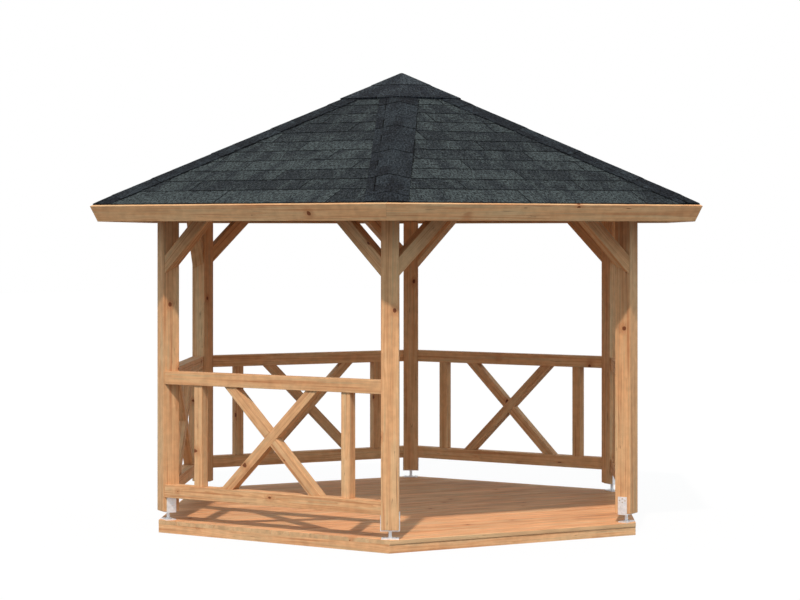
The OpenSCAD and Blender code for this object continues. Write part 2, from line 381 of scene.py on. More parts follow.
def wood(name, light, dark, streak, knot, knot_luck, spread, mottling, mottles_along):
    """Sawn softwood: growth rings round a heart that wanders, fibres, streaks, a few knots and fine checks.

    knot_luck is the share of places that have no knot, spread the difference in tone between pieces, mottling
    the depth of the mottles and mottles_along their number to a metre. Faces that are told as cut are paler.
    """
    weathered = srgb(198, 170, 130)
    end_pale = 0.65
    heart_wander = 0.04
    ring_period = 0.0062
    ring_sharpness = 2.2
    ring_depth = 0.62
    ring_ripple = 0.010
    knots_per_metre = 2.4
    knots_per_turn = 0.95
    knot_length = 0.62
    knot_radius = 0.0105
    knot_soft_out = 0.0022
    knot_soft_in = 0.0012
    knot_halo = 0.030
    knot_halo_depth = 0.50
    knot_push = 0.011
    knot_ring_period = 0.0031
    knot_ring_depth = 0.45
    knot_wobble = 0.5
    crack_depth = 0.55
    fibre_levels = (0.94, 1.06)
    cloud_depth = 0.09
    roughness = (0.58, 0.76)
    gloss = 0.10
    ring_relief = 0.35
    fibre_relief = 0.65
    crack_relief = 1.6
    knot_relief = 0.25
    s = Shader(name)
    along, across, deep = s.split(s.attribute("grain").outputs["Vector"])

    def pattern(per_along, per_across, detail=2.0):
        """Noise with its scale along the grain and across it."""
        place = s.join(s.times(along, per_along), s.times(across, per_across), s.times(deep, per_across))
        return s.noise(place, detail=detail).outputs["Fac"]

    wander = s.noise(s.join(s.times(along, 0.9), 0.0, 0.0), detail=1.0).outputs["Color"]
    wander_y, wander_z, _ = s.split(wander)
    y = s.add(across, s.times(s.take(wander_y, 0.5), heart_wander))
    z = s.add(deep, s.times(s.take(wander_z, 0.5), heart_wander))
    radius = s.length(y, z)
    angle = s.math("ARCTAN2", z, y)

    knot_x = s.times(along, knots_per_metre)
    knot_y = s.times(angle, knots_per_turn)
    knot_cell = s.cells(s.join(knot_x, knot_y, 0.0), dimensions="2D")
    spot_x, spot_y, _ = s.split(knot_cell.outputs["Position"])
    off_x = s.times(s.take(knot_x, spot_x), knot_length / knots_per_metre)
    off_y = s.times(s.times(s.take(knot_y, spot_y), 1 / knots_per_turn), radius)
    wobble = pattern(60, 60, 1.0)
    stretch = s.add(1 - knot_wobble / 2, s.times(wobble, knot_wobble))
    reach = s.times(s.length(off_x, off_y), stretch)
    luck, _, _ = s.split(knot_cell.outputs["Color"])
    size = s.span(luck, knot_luck, 1.0, 0.0, knot_radius, smooth=False)
    in_knot = s.span(reach, s.add(size, knot_soft_out), s.take(size, knot_soft_in))
    in_knot = s.times(in_knot, s.span(size, 0.001, 0.003))
    near_knot = s.times(s.span(reach, s.add(size, knot_halo), size), s.span(size, 0.0, 0.004))
    knot_rings = s.math("FRACT", s.times(reach, 1 / knot_ring_period))

    ripple = pattern(3.2, 22)
    ring_radius = s.add(s.add(radius, s.times(near_knot, knot_push)), s.times(ripple, ring_ripple))
    ring = s.math("POWER", s.math("FRACT", s.times(ring_radius, 1 / ring_period)), ring_sharpness)
    fibre = pattern(11, 480)
    band = pattern(0.8, 30, 3.0)
    line = pattern(1.1, 85)
    cloud = pattern(1.6, 9)
    pale = pattern(1.4, 48)
    mottle = pattern(mottles_along, 21, 3.0)
    check = s.math("ABSOLUTE", s.take(pattern(1.5, 55, 1.0), 0.5))
    crack = s.times(s.span(check, 0.010, 0.002), s.span(cloud, 0.54, 0.62))

    colour = s.mix(s.times(ring, ring_depth), light, dark)
    stains = ((cloud, 0.44, 0.66, 0.55, weathered), (band, 0.50, 0.78, 0.60, streak),
              (line, 0.52, 0.70, 0.65, streak), (pale, 0.52, 0.70, 0.60, weathered))
    for value, low, high, share, tint in stains:
        colour = s.mix(s.span(value, low, high, 0.0, share), colour, tint)
    colour = s.mix(s.times(s.attribute("cut").outputs["Fac"], end_pale), colour, weathered)
    colour = s.mix(s.times(near_knot, knot_halo_depth), colour, streak)
    colour = s.mix(in_knot, colour, s.mix(s.times(knot_rings, knot_ring_depth), knot, streak))
    colour = s.mix(s.times(crack, crack_depth), colour, knot)
    tone = s.attribute("tone").outputs["Fac"]
    level = s.add(s.times(tone, spread), s.noise_span(fibre, *fibre_levels))
    level = s.add(level, s.noise_span(cloud, -cloud_depth, cloud_depth))
    level = s.add(level, s.noise_span(mottle, -mottling, mottling))
    s.put(s.surface.inputs["Base Color"], s.shade(colour, level))
    s.put(s.surface.inputs["Roughness"], s.noise_span(fibre, *roughness))
    s.surface.inputs["Specular IOR Level"].default_value = gloss
    height = s.add(s.times(ring, ring_relief), s.times(fibre, fibre_relief))
    height = s.take(s.take(height, s.times(crack, crack_relief)), s.times(in_knot, knot_relief))
    s.bump(height, strength=0.35, distance=0.0009)
    return s.material


def shingle_felt(name, level, dark_blend, light_blend):
    """Bitumen felt with slate granules, blended between two greys, and near black where it is marked cut: the
    felt's own black cut edge, made dark enough to be painted shade under course edges and in joints.
    """
    pale_granule = srgb(88, 93, 92)
    dark_granule = srgb(21, 23, 23)
    # Near black for faces marked cut: partly the felt's own black cut edge, partly painted shade under the
    # edges of courses and caps and in the joints
    cut_black_and_painted_shade = srgb(9, 9, 10)
    tone_in_blend = 0.10
    tone_in_shade = 0.08
    grit_levels = (0.12, 1.94)
    roughness = (0.82, 0.97)
    gloss = 0.06
    grit_relief = 0.5
    s = Shader(name)
    along, down, _ = s.split(s.attribute("grain").outputs["Vector"])
    granules = s.cells(s.place(), scale=420)
    grit = s.join(s.times(along, 84), s.times(down, 36), 0.0)
    grit = s.noise(grit, detail=3.0, roughness=0.72).outputs["Fac"]
    blend = s.join(s.times(along, 7.5), s.times(down, 2.4), 0.0)
    blend = s.noise(blend, detail=2.0).outputs["Fac"]
    tone = s.attribute("tone").outputs["Fac"]
    grey, dark, _ = s.split(granules.outputs["Color"])
    blend = s.add(blend, s.times(tone, tone_in_blend))
    colour = s.mix(s.span(blend, 0.36, 0.64), dark_blend, light_blend)
    colour = s.mix(s.span(grey, 0.72, 1.0, 0.0, 0.55), colour, pale_granule)
    colour = s.mix(s.span(dark, 0.70, 1.0, 0.0, 0.60), colour, dark_granule)
    colour = s.mix(s.attribute("cut").outputs["Fac"], colour, cut_black_and_painted_shade)
    shade = s.add(s.times(tone, tone_in_shade), s.span(grit, 0.35, 0.65, *grit_levels))
    s.put(s.surface.inputs["Base Color"], s.shade(colour, s.times(shade, level)))
    s.put(s.surface.inputs["Roughness"], s.noise_span(grit, *roughness))
    s.surface.inputs["Specular IOR Level"].default_value = gloss
    height = s.add(granules.outputs["Distance"], s.times(grit, grit_relief))
    s.bump(height, strength=0.5, distance=0.0008)
    return s.material


def bitumen(name, light, dark):
    """Black bitumen, darker where it is thick. On the hip caps it paints the shade along their edges, and
    fills their seams as a dark joint that also paints the gap's shade.
    """
    s = Shader(name)
    lumps = s.noise(s.place(), scale=70, detail=2.0).outputs["Fac"]
    s.put(s.surface.inputs["Base Color"], s.mix(s.span(lumps, 0.35, 0.65), light, dark))
    s.surface.inputs["Roughness"].default_value = 0.75
    s.surface.inputs["Specular IOR Level"].default_value = 0.02
    s.bump(lumps, strength=0.4, distance=0.001)
    return s.material


def coated_steel(name, dull, bright, stain, metallic):
    """Zinc-coated steel with spangles and a dull skin."""
    s = Shader(name)
    place = s.place()
    spangle = s.cells(place, scale=95)
    haze = s.noise(place, scale=38, detail=3.0).outputs["Fac"]
    shade, _, _ = s.split(spangle.outputs["Color"])
    colour = s.mix(shade, dull, bright)
    colour = s.mix(s.span(haze, 0.5, 0.75, 0.0, 0.45), colour, stain)
    s.put(s.surface.inputs["Base Color"], colour)
    s.surface.inputs["Metallic"].default_value = metallic
    skin = s.add(s.times(shade, 0.6), s.times(haze, 0.4))
    s.put(s.surface.inputs["Roughness"], s.span(skin, 0.2, 0.8, 0.32, 0.52))
    s.bump(s.add(shade, haze), strength=0.15, distance=0.0004)
    return s.material


timber = wood("timber", srgb(226, 178, 130), srgb(198, 140, 92), srgb(180, 116, 74), srgb(94, 50, 34),
              knot_luck=0.80, spread=0.07, mottling=0.07, mottles_along=17)
decking = wood("decking", srgb(230, 180, 132), srgb(202, 143, 96), srgb(184, 119, 76), srgb(116, 72, 46),
               knot_luck=0.90, spread=0.08, mottling=0.08, mottles_along=17)
floor_wood = wood("floor_wood", srgb(231, 176, 127), srgb(204, 139, 91), srgb(186, 115, 71), srgb(116, 72, 46),
                  knot_luck=0.90, spread=0.10, mottling=0.12, mottles_along=4)
felt = shingle_felt("shingle_felt", 1.0, srgb(30, 35, 39), srgb(52, 59, 60))
hip_felt = shingle_felt("hip_felt", 0.60, srgb(29, 33, 40), srgb(49, 56, 62))
apex_felt = shingle_felt("apex_felt", 0.87, srgb(29, 33, 40), srgb(51, 57, 62))
# Black bitumen for the hip caps' beads: painted shade along their edges, dark joints in their seams
seam_and_shade_bitumen = bitumen("seam_bitumen_and_painted_shade", srgb(14, 15, 16), srgb(6, 6, 7))
steel = coated_steel("galvanised_steel", srgb(226, 228, 230), srgb(242, 243, 244), srgb(212, 215, 218), 0.6)
# A paler, less metallic copy of the zinc for the threads and nuts, which stand in the posts' shade: painted
# light that keeps them white there
rod_steel_painted_light = coated_steel("rod_steel_painted_light", srgb(236, 237, 238), srgb(246, 246, 247), srgb(226, 228, 230), 0.25)
screw_steel = coated_steel("screw_steel", srgb(188, 174, 158), srgb(200, 188, 172), srgb(172, 158, 142), 0.6)


# Timbers: each solid of a node as a piece of sawn wood with eased edges
WELD = 2e-5
FLAT_WITHIN = math.radians(0.5)
SHARP_FROM = math.radians(20)
EASE_SEGMENTS = 2
EASE_PROFILE = 0.6
POST_EASE = 0.004
BEAM_EASE = 0.004
RAILING_EASE = 0.003
FASCIA_EASE = 0.002
JOIST_EASE = 0.002
# Seeds of the posts and of the fascia boards. Those in view were found by trying many, so that their knots
# and tones lie about where the photograph has them
POST_SEEDS = (10000447, 7101317, 30015, 10300199, 6400005, 7501712)
FASCIA_SEEDS = (4000910, 141, 142, 143, 144, 3500318)
BEAM_SEED = 120
RAFTER_SEED = 180
JOIST_SEED = 190
# Seeds of the railings. The first three were found by trying many, for tones like the photograph's
RAILING_SEEDS = (("top_rails", 49783), ("bottom_rails", 36373), ("railing_balusters", 37950),
                 ("railing_rising_diagonals", 163), ("railing_falling_diagonals", 164), ("knee_braces", 165))


def solids_of(node):
    """The node's separate solids, each with its flat faces whole again."""
    whole = bmesh.new()
    whole.from_mesh(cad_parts[node].data)
    bmesh.ops.remove_doubles(whole, verts=whole.verts, dist=WELD)
    bmesh.ops.dissolve_limit(whole, angle_limit=FLAT_WITHIN, verts=whole.verts, edges=whole.edges)
    whole.verts.index_update()
    left = set(whole.verts)
    found = []
    for start in list(whole.verts):
        if start not in left:
            continue
        left.discard(start)
        group = [start]
        for v in group:
            for e in v.link_edges:
                w = e.other_vert(v)
                if w in left:
                    left.discard(w)
                    group.append(w)
        order = {v: k for k, v in enumerate(group)}
        faces = {f for v in group for f in v.link_faces}
        faces = sorted(([order[v] for v in f.verts] for f in faces))
        found.append(([v.co.copy() for v in group], faces))
    whole.free()
    return found


def longest_edge(points, faces):
    edges = [points[f[k]] - points[f[k - 1]] for f in faces for k in range(len(f))]
    return max(edges, key=lambda e: round(e.length, 5))


def eased(points, faces, ease):
    """The solid with its outer edges rounded."""
    made = bmesh.new()
    verts = [made.verts.new(p) for p in points]
    for f in faces:
        made.faces.new([verts[k] for k in f])
    bmesh.ops.recalc_face_normals(made, faces=made.faces)
    made.normal_update()
    outer = [e for e in made.edges if e.is_convex and e.calc_face_angle(0) > SHARP_FROM]
    bmesh.ops.bevel(made, geom=outer, offset=ease, offset_type="OFFSET", segments=EASE_SEGMENTS,
                    profile=EASE_PROFILE, affect="EDGES", clamp_overlap=True)
    made.verts.index_update()
    result = [v.co.copy() for v in made.verts], [[v.index for v in f.verts] for f in made.faces]
    made.free()
    return result


def timbers(node, seed, ease=0.0, material=timber, slot="wood"):
    """A node's solids as wood with the grain along each one's longest edge."""
    wood_solids = Solids(seed)
    for points, faces in solids_of(node):
        along = longest_edge(points, faces)
        if ease > 0:
            points, faces = eased(points, faces, ease)
        wood_solids.add(points, faces, along)
    wood_solids.piece(node + "_timber", material, slot, node)


for name, seed in zip(POSTS, POST_SEEDS):
    timbers("post_" + name, seed, POST_EASE)
for k, name in enumerate(SIDES):
    timbers("beam_" + name, BEAM_SEED + k, BEAM_EASE)
    timbers("fascia_" + name, FASCIA_SEEDS[k], FASCIA_EASE)
for name, seed in RAILING_SEEDS:
    timbers(name, seed, RAILING_EASE)
for k, name in enumerate(("hip_rafters", "common_rafters", "roof_hub")):
    timbers(name, RAFTER_SEED + k)
timbers("deck_joists", JOIST_SEED, JOIST_EASE, decking, "deck_wood")


# Deck: floor boards along the entrance, with eased edges and narrow gaps, on a mitred rim
BOARD_PITCH = 0.147
BOARD_GAP = 0.003
BOARD_EASE = 0.003
# Share of the ease that its middle point lies in from the board's corner
BOARD_ROUND = 0.3
# Places in a board's section after which the side is its front or its back edge
FRONT_EDGE = 0
BACK_EDGE = 6
# Cosine within which a point of the rim lies toward a post
TOWARD_POST = 0.99


def deck_reach(y):
    """Half the deck's length at a distance y from its middle line."""
    return deck_hi.x - abs(y) * TAN_HALF


def deck_boards():
    boards = Solids(seed=200)
    half = round(deck_hi.y / BOARD_PITCH)
    pitch = deck_hi.y / half
    top = deck_hi.z
    ease = BOARD_EASE
    inset = BOARD_ROUND * ease
    for k in range(-half, half):
        y0 = k * pitch + (BOARD_GAP / 2 if k > -half else 0)
        y1 = (k + 1) * pitch - (BOARD_GAP / 2 if k < half - 1 else 0)
        section = [(y0, deck_lo.z), (y0, top - ease), (y0 + inset, top - inset), (y0 + ease, top),
                   (y1 - ease, top), (y1 - inset, top - inset), (y1, top - ease), (y1, deck_lo.z)]
        rings = [[Vector((way * deck_reach(y), y, z)) for y, z in section] for way in (-1, 1)]
        deck_edge = {-half: (FRONT_EDGE,), half - 1: (BACK_EDGE,)}.get(k, ())
        boards.loft(rings, BOARD_WAY, UP, deck_edge, True)
    boards.piece("deck_boards", floor_wood, "deck_wood", "deck_floor")


def rim_section(angle):
    """Mitre of two rim boards at the corner in the direction of a post."""
    toward = plan(angle, 1)
    near = [p for p in node_points("deck_rim") if p.dot(toward) > TOWARD_POST * flat_length(p)]
    inner = min(near, key=flat_length)
    outer = max(near, key=flat_length)
    places = ((inner, rim_lo.z), (outer, rim_lo.z), (outer, rim_hi.z), (inner, rim_hi.z))
    return [Vector((p.x, p.y, z)) for p, z in places]


def deck_rim_boards():
    rim = Solids(seed=210)
    sections = [rim_section(angle) for angle in POST_ANGLES]
    for k, angle in enumerate(SIDE_ANGLES):
        rim.loft([sections[k], sections[(k + 1) % len(sections)]], plan(angle, 0, 1), plan(angle, 1))
    rim.piece("deck_rim_boards", decking, "deck_wood", "deck_rim")


deck_boards()
deck_rim_boards()


# Roof boarding: matched boards with a V joint on the underside, mitred at the hips
PLANK_PITCH = 0.117
PLANK_V = 0.004
PLANK_TOP = 0.03


def roof_planks(side):
    planks = Solids(seed=300 + side)
    count = round((boards_u - PLANK_TOP) / PLANK_PITCH)
    pitch = (boards_u - PLANK_TOP) / count
    low = -roof_board_t
    for k in range(count):
        u0 = PLANK_TOP + k * pitch
        u1 = u0 + pitch
        section = [(u0, 0.0), (u0, low + PLANK_V), (u0 + PLANK_V, low),
                   (u1 - PLANK_V, low), (u1, low + PLANK_V), (u1, 0.0)]
        rings = [[on_slope(side, u, way * hip_reach(u, n), n) for u, n in section] for way in (-1, 1)]
        planks.loft(rings, eave_way(side), slope_normal(side))
    planks.piece("roof_planks_" + SIDES[side], timber, "wood", "roof_boards_" + SIDES[side])


for side in range(len(SIDES)):
    roof_planks(side)


# Shingles: long strips in staggered courses, laid a little unevenly, over a felt underlay shown near black,
# partly its own colour and partly painted shade in the joints and under the eave course
STRIP_L = 0.92
STRIP_STAGGER = 0.37
STRIP_SHIFT = 0.05
JOINT_W = 0.007
HEAD_LAP = 0.018
HEAD_T = 0.0006
BUTT_SINK = 0.0012
BUTT_WANDER = 0.0015
EAVE_UNDERCUT = 0.010
UNDERLAY_T = 0.0022
# Share of the underlay's thickness that the strips' undersides lie at
STRIP_BED = 0.6
# Place in a strip's ring after which the side is its lower edge
BUTT_SIDE = 1


def strip_rings(side, y0, y1, u0, u1, head, butt, foot, undercut=0.0):
    """Wedge of felt between two lines down the slope, cut off at the hips."""
    rings = []
    for y in (y0, y1):
        ring = []
        for u, n in ((u0, foot), (u1 - undercut, foot), (u1, butt), (u0, head)):
            edge = hip_reach(u, n)
            ring.append(on_slope(side, u, max(-edge, min(edge, y)), n))
        rings.append(ring)
    return rings


def shingle_strips(side):
    strips = Solids(seed=400 + side)
    pick = strips.random.uniform
    way = eave_way(side)
    up = slope_normal(side)
    reach = hip_reach(boards_u, 0)
    underlay = strip_rings(side, -reach, reach, FELT_TOP, boards_u, UNDERLAY_T, UNDERLAY_T, 0.0)
    # Every face of the underlay is marked cut, so it shows near black: painted shade in the joints between
    # strips and under the eave course, over a felt that is dark of its own
    strips.loft(underlay, way, up, range(4), True)
    head = UNDERLAY_T + HEAD_T
    foot = STRIP_BED * UNDERLAY_T
    lines = [FELT_TOP] + course_lines
    for k in range(len(lines) - 1):
        u0 = max(FELT_TOP, lines[k] - HEAD_LAP)
        u1 = lines[k + 1]
        reach = hip_reach(u1, butt_n)
        shift = STRIP_L * (STRIP_STAGGER * k + pick(-STRIP_SHIFT, STRIP_SHIFT))
        first = math.floor((-reach - shift) / STRIP_L)
        last = math.ceil((reach - shift) / STRIP_L)
        for j in range(first, last):
            y0 = shift + j * STRIP_L + JOINT_W / 2
            y1 = shift + (j + 1) * STRIP_L - JOINT_W / 2
            if min(abs(y0), abs(y1)) > hip_reach(u1, 0) - FELT_TOP and y0 * y1 > 0:
                continue
            butt = butt_n - pick(0.0, BUTT_SINK)
            at_eave = k == len(lines) - 2
            low_u = u1 if at_eave else u1 - pick(0.0, BUTT_WANDER)
            undercut = EAVE_UNDERCUT if at_eave else 0.0
            strip = strip_rings(side, y0, y1, u0, low_u, head, butt, foot, undercut)
            # The lower edge and the ends are marked cut and show near black: the felt's cut edge, darkened to
            # paint the shade under each course and in the joints
            strips.loft(strip, way, up, (BUTT_SIDE,), True)
    strips.piece("shingle_strips_" + SIDES[side], felt, "shingle", "shingles_" + SIDES[side])


for side in range(len(SIDES)):
    shingle_strips(side)


# Hip caps: strips of three folded shingles lapped up each hip
CAP_STRIP = 0.46
CAP_SHIFT = 0.02
CAP_TABS = 3
CAP_FIRST = 0.608
CAP_FIRST_SHARE = 0.5
CAP_LAP = 0.05
CAP_FOLD = 0.005
CAP_ROUND = 0.016
CAP_ROUND_POWER = 6
CAP_T = 0.0035
CAP_STEP = 0.001
CAP_SINK = 0.0025
CAP_SKEW = 0.004
CAP_SEAM = -0.618
CAP_SEAM_W = 0.011
CAP_SEAM_OPEN = (0.1, 1.0)
CAP_TRIM = 0.965
CAP_DROP = 0.0015
CAP_DROP_POWER = 3
CAP_EAVE_DROP = 0.004
CAP_SEGMENTS = 12
CAP_SMOOTH = 25
# Black beads of bitumen: along the caps' two edges they are painted shade, and in the seams a dark joint that
# also paints the gap's shade
BEAD_FOOT = 0.002
BEAD_EDGE = 0.004
BEAD_W = 0.014
BEAD_RIGHT = (0.1, 0.65)
BEAD_LEFT = (0.05, 0.2)
BEAD_BELOW_HEAD = 0.012
BEAD_ABOVE_BUTT = 0.006


def hip_point(angle, r, t, n):
    """Point over a hip: r out from the middle, t square to the hip, n off the boards."""
    fold = math.hypot(t, CAP_FOLD) - CAP_FOLD
    out = r * COS_HALF + fold * SIN_HALF
    return plan(angle, r, t, roof_top - out * TAN_PITCH + n / COS_PITCH)


def hip_end(t):
    """How far out along a hip the eave lies, at a distance t square to the hip."""
    return (boards_u * COS_PITCH - abs(t) * SIN_HALF) / COS_HALF


def cap_lines(pick):
    """Lower edges of the cap shingles along a hip, each with its share of its strip's length."""
    end = boards_u * COS_PITCH / COS_HALF
    strips = round((end - CAP_FIRST) / CAP_STRIP)
    length = (end - CAP_FIRST) / strips
    lines = []
    for strip in range(strips + 1):
        shift = pick(-CAP_SHIFT, CAP_SHIFT) if 0 < strip < strips else 0.0
        lines.append(CAP_FIRST + strip * length + shift)
    edges = [(hip_start, CAP_FIRST_SHARE), (lines[0], 1.0)]
    for a, b in zip(lines, lines[1:]):
        edges += [(a + (b - a) * tab / CAP_TABS, tab / CAP_TABS) for tab in range(1, CAP_TABS + 1)]
    return edges


def cap_rings(angle, low, high, head_r, low_r, head_n, low_n, skew):
    """One part of a cap shingle, between two shares of its half width, cut off at the eaves."""
    rings = []
    for j in range(CAP_SEGMENTS + 1):
        share = low + (high - low) * j / CAP_SEGMENTS
        t = hip_half * share
        reach = low_r - CAP_ROUND * abs(share) ** CAP_ROUND_POWER + skew * share
        reach = min(reach, hip_end(t))
        drop = CAP_DROP * abs(share) ** CAP_DROP_POWER
        places = ((head_r, head_n - CAP_T), (reach, low_n - CAP_T), (reach, low_n), (head_r, head_n))
        rings.append([hip_point(angle, r, t, n - drop) for r, n in places])
    return rings


def bead_rings(angle, t0, t1, head_r, low_r, n0, n1):
    """Black bead between two lines along a hip, painted shade at an edge and a dark joint in a seam, with the
    height of its top at each.
    """
    rings = []
    for r in (head_r, low_r):
        places = ((t0, BEAD_FOOT), (t1, BEAD_FOOT), (t1, n1), (t0, n0))
        rings.append([hip_point(angle, min(r, hip_end(t)), t, n) for t, n in places])
    return rings


def hip_cap_shingles():
    """Each cap shingle is two parts with a seam that opens and closes along the hip; black beads fill the seam
    and line the two edges, as painted shade of the gap and of the edges.
    """
    caps = Solids(seed=500)
    beads = Solids(seed=510)
    pick = caps.random.uniform
    trim = hip_half * CAP_TRIM
    for angle in POST_ANGLES:
        edges = cap_lines(pick)
        for (upper_r, upper_share), (low_r, low_share) in zip(edges, edges[1:]):
            head_r = max(hip_start, upper_r - CAP_LAP)
            head_n = hip_n - CAP_SINK * (1 - upper_share % 1)
            low_n = hip_n - CAP_SINK * (1 - low_share) + CAP_STEP
            if low_r == edges[-1][0]:
                low_n = hip_n - CAP_EAVE_DROP
            skew = pick(-CAP_SKEW, CAP_SKEW)
            seam = CAP_SEAM_W / hip_half * pick(*CAP_SEAM_OPEN) ** 2
            seam_low = CAP_SEAM - seam / 2
            seam_high = CAP_SEAM + seam / 2
            for low, high in ((-1.0, seam_low), (seam_high, CAP_TRIM)):
                rings = cap_rings(angle, low, high, head_r, low_r, head_n, low_n, skew)
                # The lower edge is marked cut and shows near black: the felt's cut edge, darkened to paint the
                # shade under the cap's edge
                caps.loft(rings, plan(angle, 0, 1), UP, (BUTT_SIDE,))
            edge_n = head_n - CAP_DROP - CAP_T
            # Black beads: on the two edges painted shade, in the seam a dark joint with the painted shade of
            # its gap
            seams_and_painted_shade = ((trim, trim + BEAD_W * pick(*BEAD_RIGHT), edge_n, BEAD_EDGE),
                      (-hip_half, -hip_half - BEAD_W * pick(*BEAD_LEFT), edge_n, BEAD_EDGE),
                      (hip_half * seam_low, hip_half * seam_high, head_n, head_n))
            bead_head = upper_r + BEAD_BELOW_HEAD
            bead_end = low_r - BEAD_ABOVE_BUTT
            for t0, t1, n0, n1 in seams_and_painted_shade:
                beads.loft(bead_rings(angle, t0, t1, bead_head, bead_end, n0, n1))
    caps.piece("hip_cap_shingles", hip_felt, "shingle", "hip_caps", smooth_below=CAP_SMOOTH)
    beads.piece("hip_cap_seams_and_painted_shade", seam_and_shade_bitumen, "shingle")


# Apex cap: two courses of felt over the six faces, the lower one standing clear of the hip caps
APEX_SPLIT = 0.49
APEX_LAP = 0.02
APEX_STEP = 0.0025
APEX_LIP = 0.004
# Steps that the heads and the lower butt lie below the cap's full height
UPPER_HEAD = 0.2
LOWER_HEAD = 1.2
LOWER_BUTT = 0.4


def apex_cap_shingles():
    cap = Solids(seed=520)
    low_u = cap_r * COS_HALF / COS_PITCH
    split_u = APEX_SPLIT * low_u
    foot = cap_n - cap_t
    # The upper course's lower edge is marked cut and shows near black, partly its cut edge and partly painted
    # shade under it
    upper = (0.0, split_u, cap_n - UPPER_HEAD * APEX_STEP, cap_n, foot, (BUTT_SIDE,))
    lower = (split_u - APEX_LAP, low_u, cap_n - LOWER_HEAD * APEX_STEP, cap_n - LOWER_BUTT * APEX_STEP,
             foot - APEX_LIP, ())
    for side in range(len(SIDES)):
        for u0, u1, head, butt, lip, cut_sides in (upper, lower):
            section = ((u0, foot), (u1, lip), (u1, butt), (u0, head))
            rings = [[on_slope(side, u, way * hip_reach(u, n), n) for u, n in section] for way in (-1, 1)]
            cap.loft(rings, eave_way(side), slope_normal(side), cut_sides)
    cap.piece("apex_cap_shingles", apex_felt, "shingle", "apex_cap")


hip_cap_shingles()
apex_cap_shingles()


# Post feet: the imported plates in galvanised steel, with threads, nuts and screws
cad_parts["post_feet"].data.materials.clear()
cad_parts["post_feet"].data.materials.append(steel)

THREAD_PITCH = 0.003
THREAD_DEPTH = 0.0011
THREAD_ROOT = 0.0004
THREAD_GAP = 0.0002
THREAD_SEGMENTS = 24
NUT_ACROSS = 0.028
NUT_H = 0.007
NUT_SIDES = 6
NUT_CHAMFER = 0.0012
# Places of a strap's screws: out from its middle and down from its top
STRAP_SCREWS = ((0.0, 0.013), (0.0, 0.037), (-0.022, 0.025), (0.022, 0.025))
BASE_SCREW_IN = 0.016
SCREW_R = 0.0052
SCREW_H = 0.0022
SCREW_SIDES = 20
SCREW_CHAMFER = 0.0009
RECESS_AT = 0.0018
RECESS_R = 0.0022
RECESS_H = 0.0006
RECESS_SIDES = 6
RECESS_CHAMFER = 0.0001


def prism(solids, place, normal, radius, height, sides, chamfer):
    """Upright prism with a chamfered top, standing on a place in the direction of a normal."""
    turn = Vector(normal).normalized().to_track_quat("Z", "X").to_matrix()
    angles = [2 * math.pi * k / sides for k in range(sides)]
    rings = []
    for r, h in ((radius, 0.0), (radius, height - chamfer), (radius - chamfer, height)):
        rings.append([Vector(place) + turn @ Vector((r * math.cos(a), r * math.sin(a), h)) for a in angles])
    solids.loft(rings)


def threads():
    thread = Solids(seed=600)
    turns = (seat_low - base_top) / THREAD_PITCH - 1
    section = ((rod_radius - THREAD_ROOT, THREAD_GAP), (rod_radius + THREAD_DEPTH, 0.5 * THREAD_PITCH),
               (rod_radius - THREAD_ROOT, THREAD_PITCH - THREAD_GAP))
    for angle in POST_ANGLES:
        middle = plan(angle, post_r)
        rings = []
        for k in range(round(turns * THREAD_SEGMENTS) + 1):
            a = 2 * math.pi * k / THREAD_SEGMENTS
            z = base_top + THREAD_PITCH * k / THREAD_SEGMENTS
            rings.append([middle + Vector((r * math.cos(a), r * math.sin(a), z + dz)) for r, dz in section])
        thread.loft(rings)
    thread.piece("foot_threads", rod_steel_painted_light, "zinc")


def nuts():
    nut = Solids(seed=610)
    for angle in POST_ANGLES:
        place = plan(angle, post_r, 0, base_top)
        prism(nut, place, UP, NUT_ACROSS / 2 / COS_HALF, NUT_H, NUT_SIDES, NUT_CHAMFER)
    nut.piece("foot_nuts", rod_steel_painted_light, "zinc")


def screw_head(heads, recesses, place, normal):
    """Pan head with a recess for the driver."""
    normal = Vector(normal).normalized()
    prism(heads, place, normal, SCREW_R, SCREW_H, SCREW_SIDES, SCREW_CHAMFER)
    recess = Vector(place) + RECESS_AT * normal
    prism(recesses, recess, normal, RECESS_R, RECESS_H, RECESS_SIDES, RECESS_CHAMFER)


def screws():
    """Screws through the straps beside the entrance and through the base plates into the deck."""
    heads = Solids(seed=620)
    recesses = Solids(seed=630)
    for k, angle in enumerate(POST_ANGLES):
        for way in (-1, 1):
            beside_entrance = (k == 0 and way > 0) or (k == 1 and way < 0)
            for radial, drop in STRAP_SCREWS if beside_entrance else ():
                place = plan(angle, post_r + radial, way * strap_out, foot_top - drop)
                screw_head(heads, recesses, place, plan(angle, 0, way))
            place = plan(angle, post_r, way * (base_half - BASE_SCREW_IN), base_top)
            screw_head(heads, recesses, place, UP)
    heads.piece("foot_screws", screw_steel, "zinc")
    recesses.piece("foot_screw_recesses", screw_steel, "zinc")


threads()
nuts()
screws()


# Floor, light and camera
FLOOR_HALF = 60.0
FLOOR_Z = -0.002
FLOOR_PALE = (0.86, 0.86, 0.86, 1)
FLOOR_BOUNCE = (0.15, 0.15, 0.15, 1)
# Share of the floor's own white that shadows can darken
FLOOR_SHADOW = 0.05
WHITE = (1, 1, 1, 1)
SUN_STRENGTH = 2.72
SUN_COLOUR = (1.0, 0.84, 0.74)
SUN_ANGLE = math.radians(2.0)
SUN_TRAVEL = math.radians(53.0)
SUN_ELEVATION = math.radians(51.9)
SUN_DISTANCE = 12
FILL_COLOUR = (0.865, 1.0, 1.10, 1)
FILL_STRENGTH = 1.10
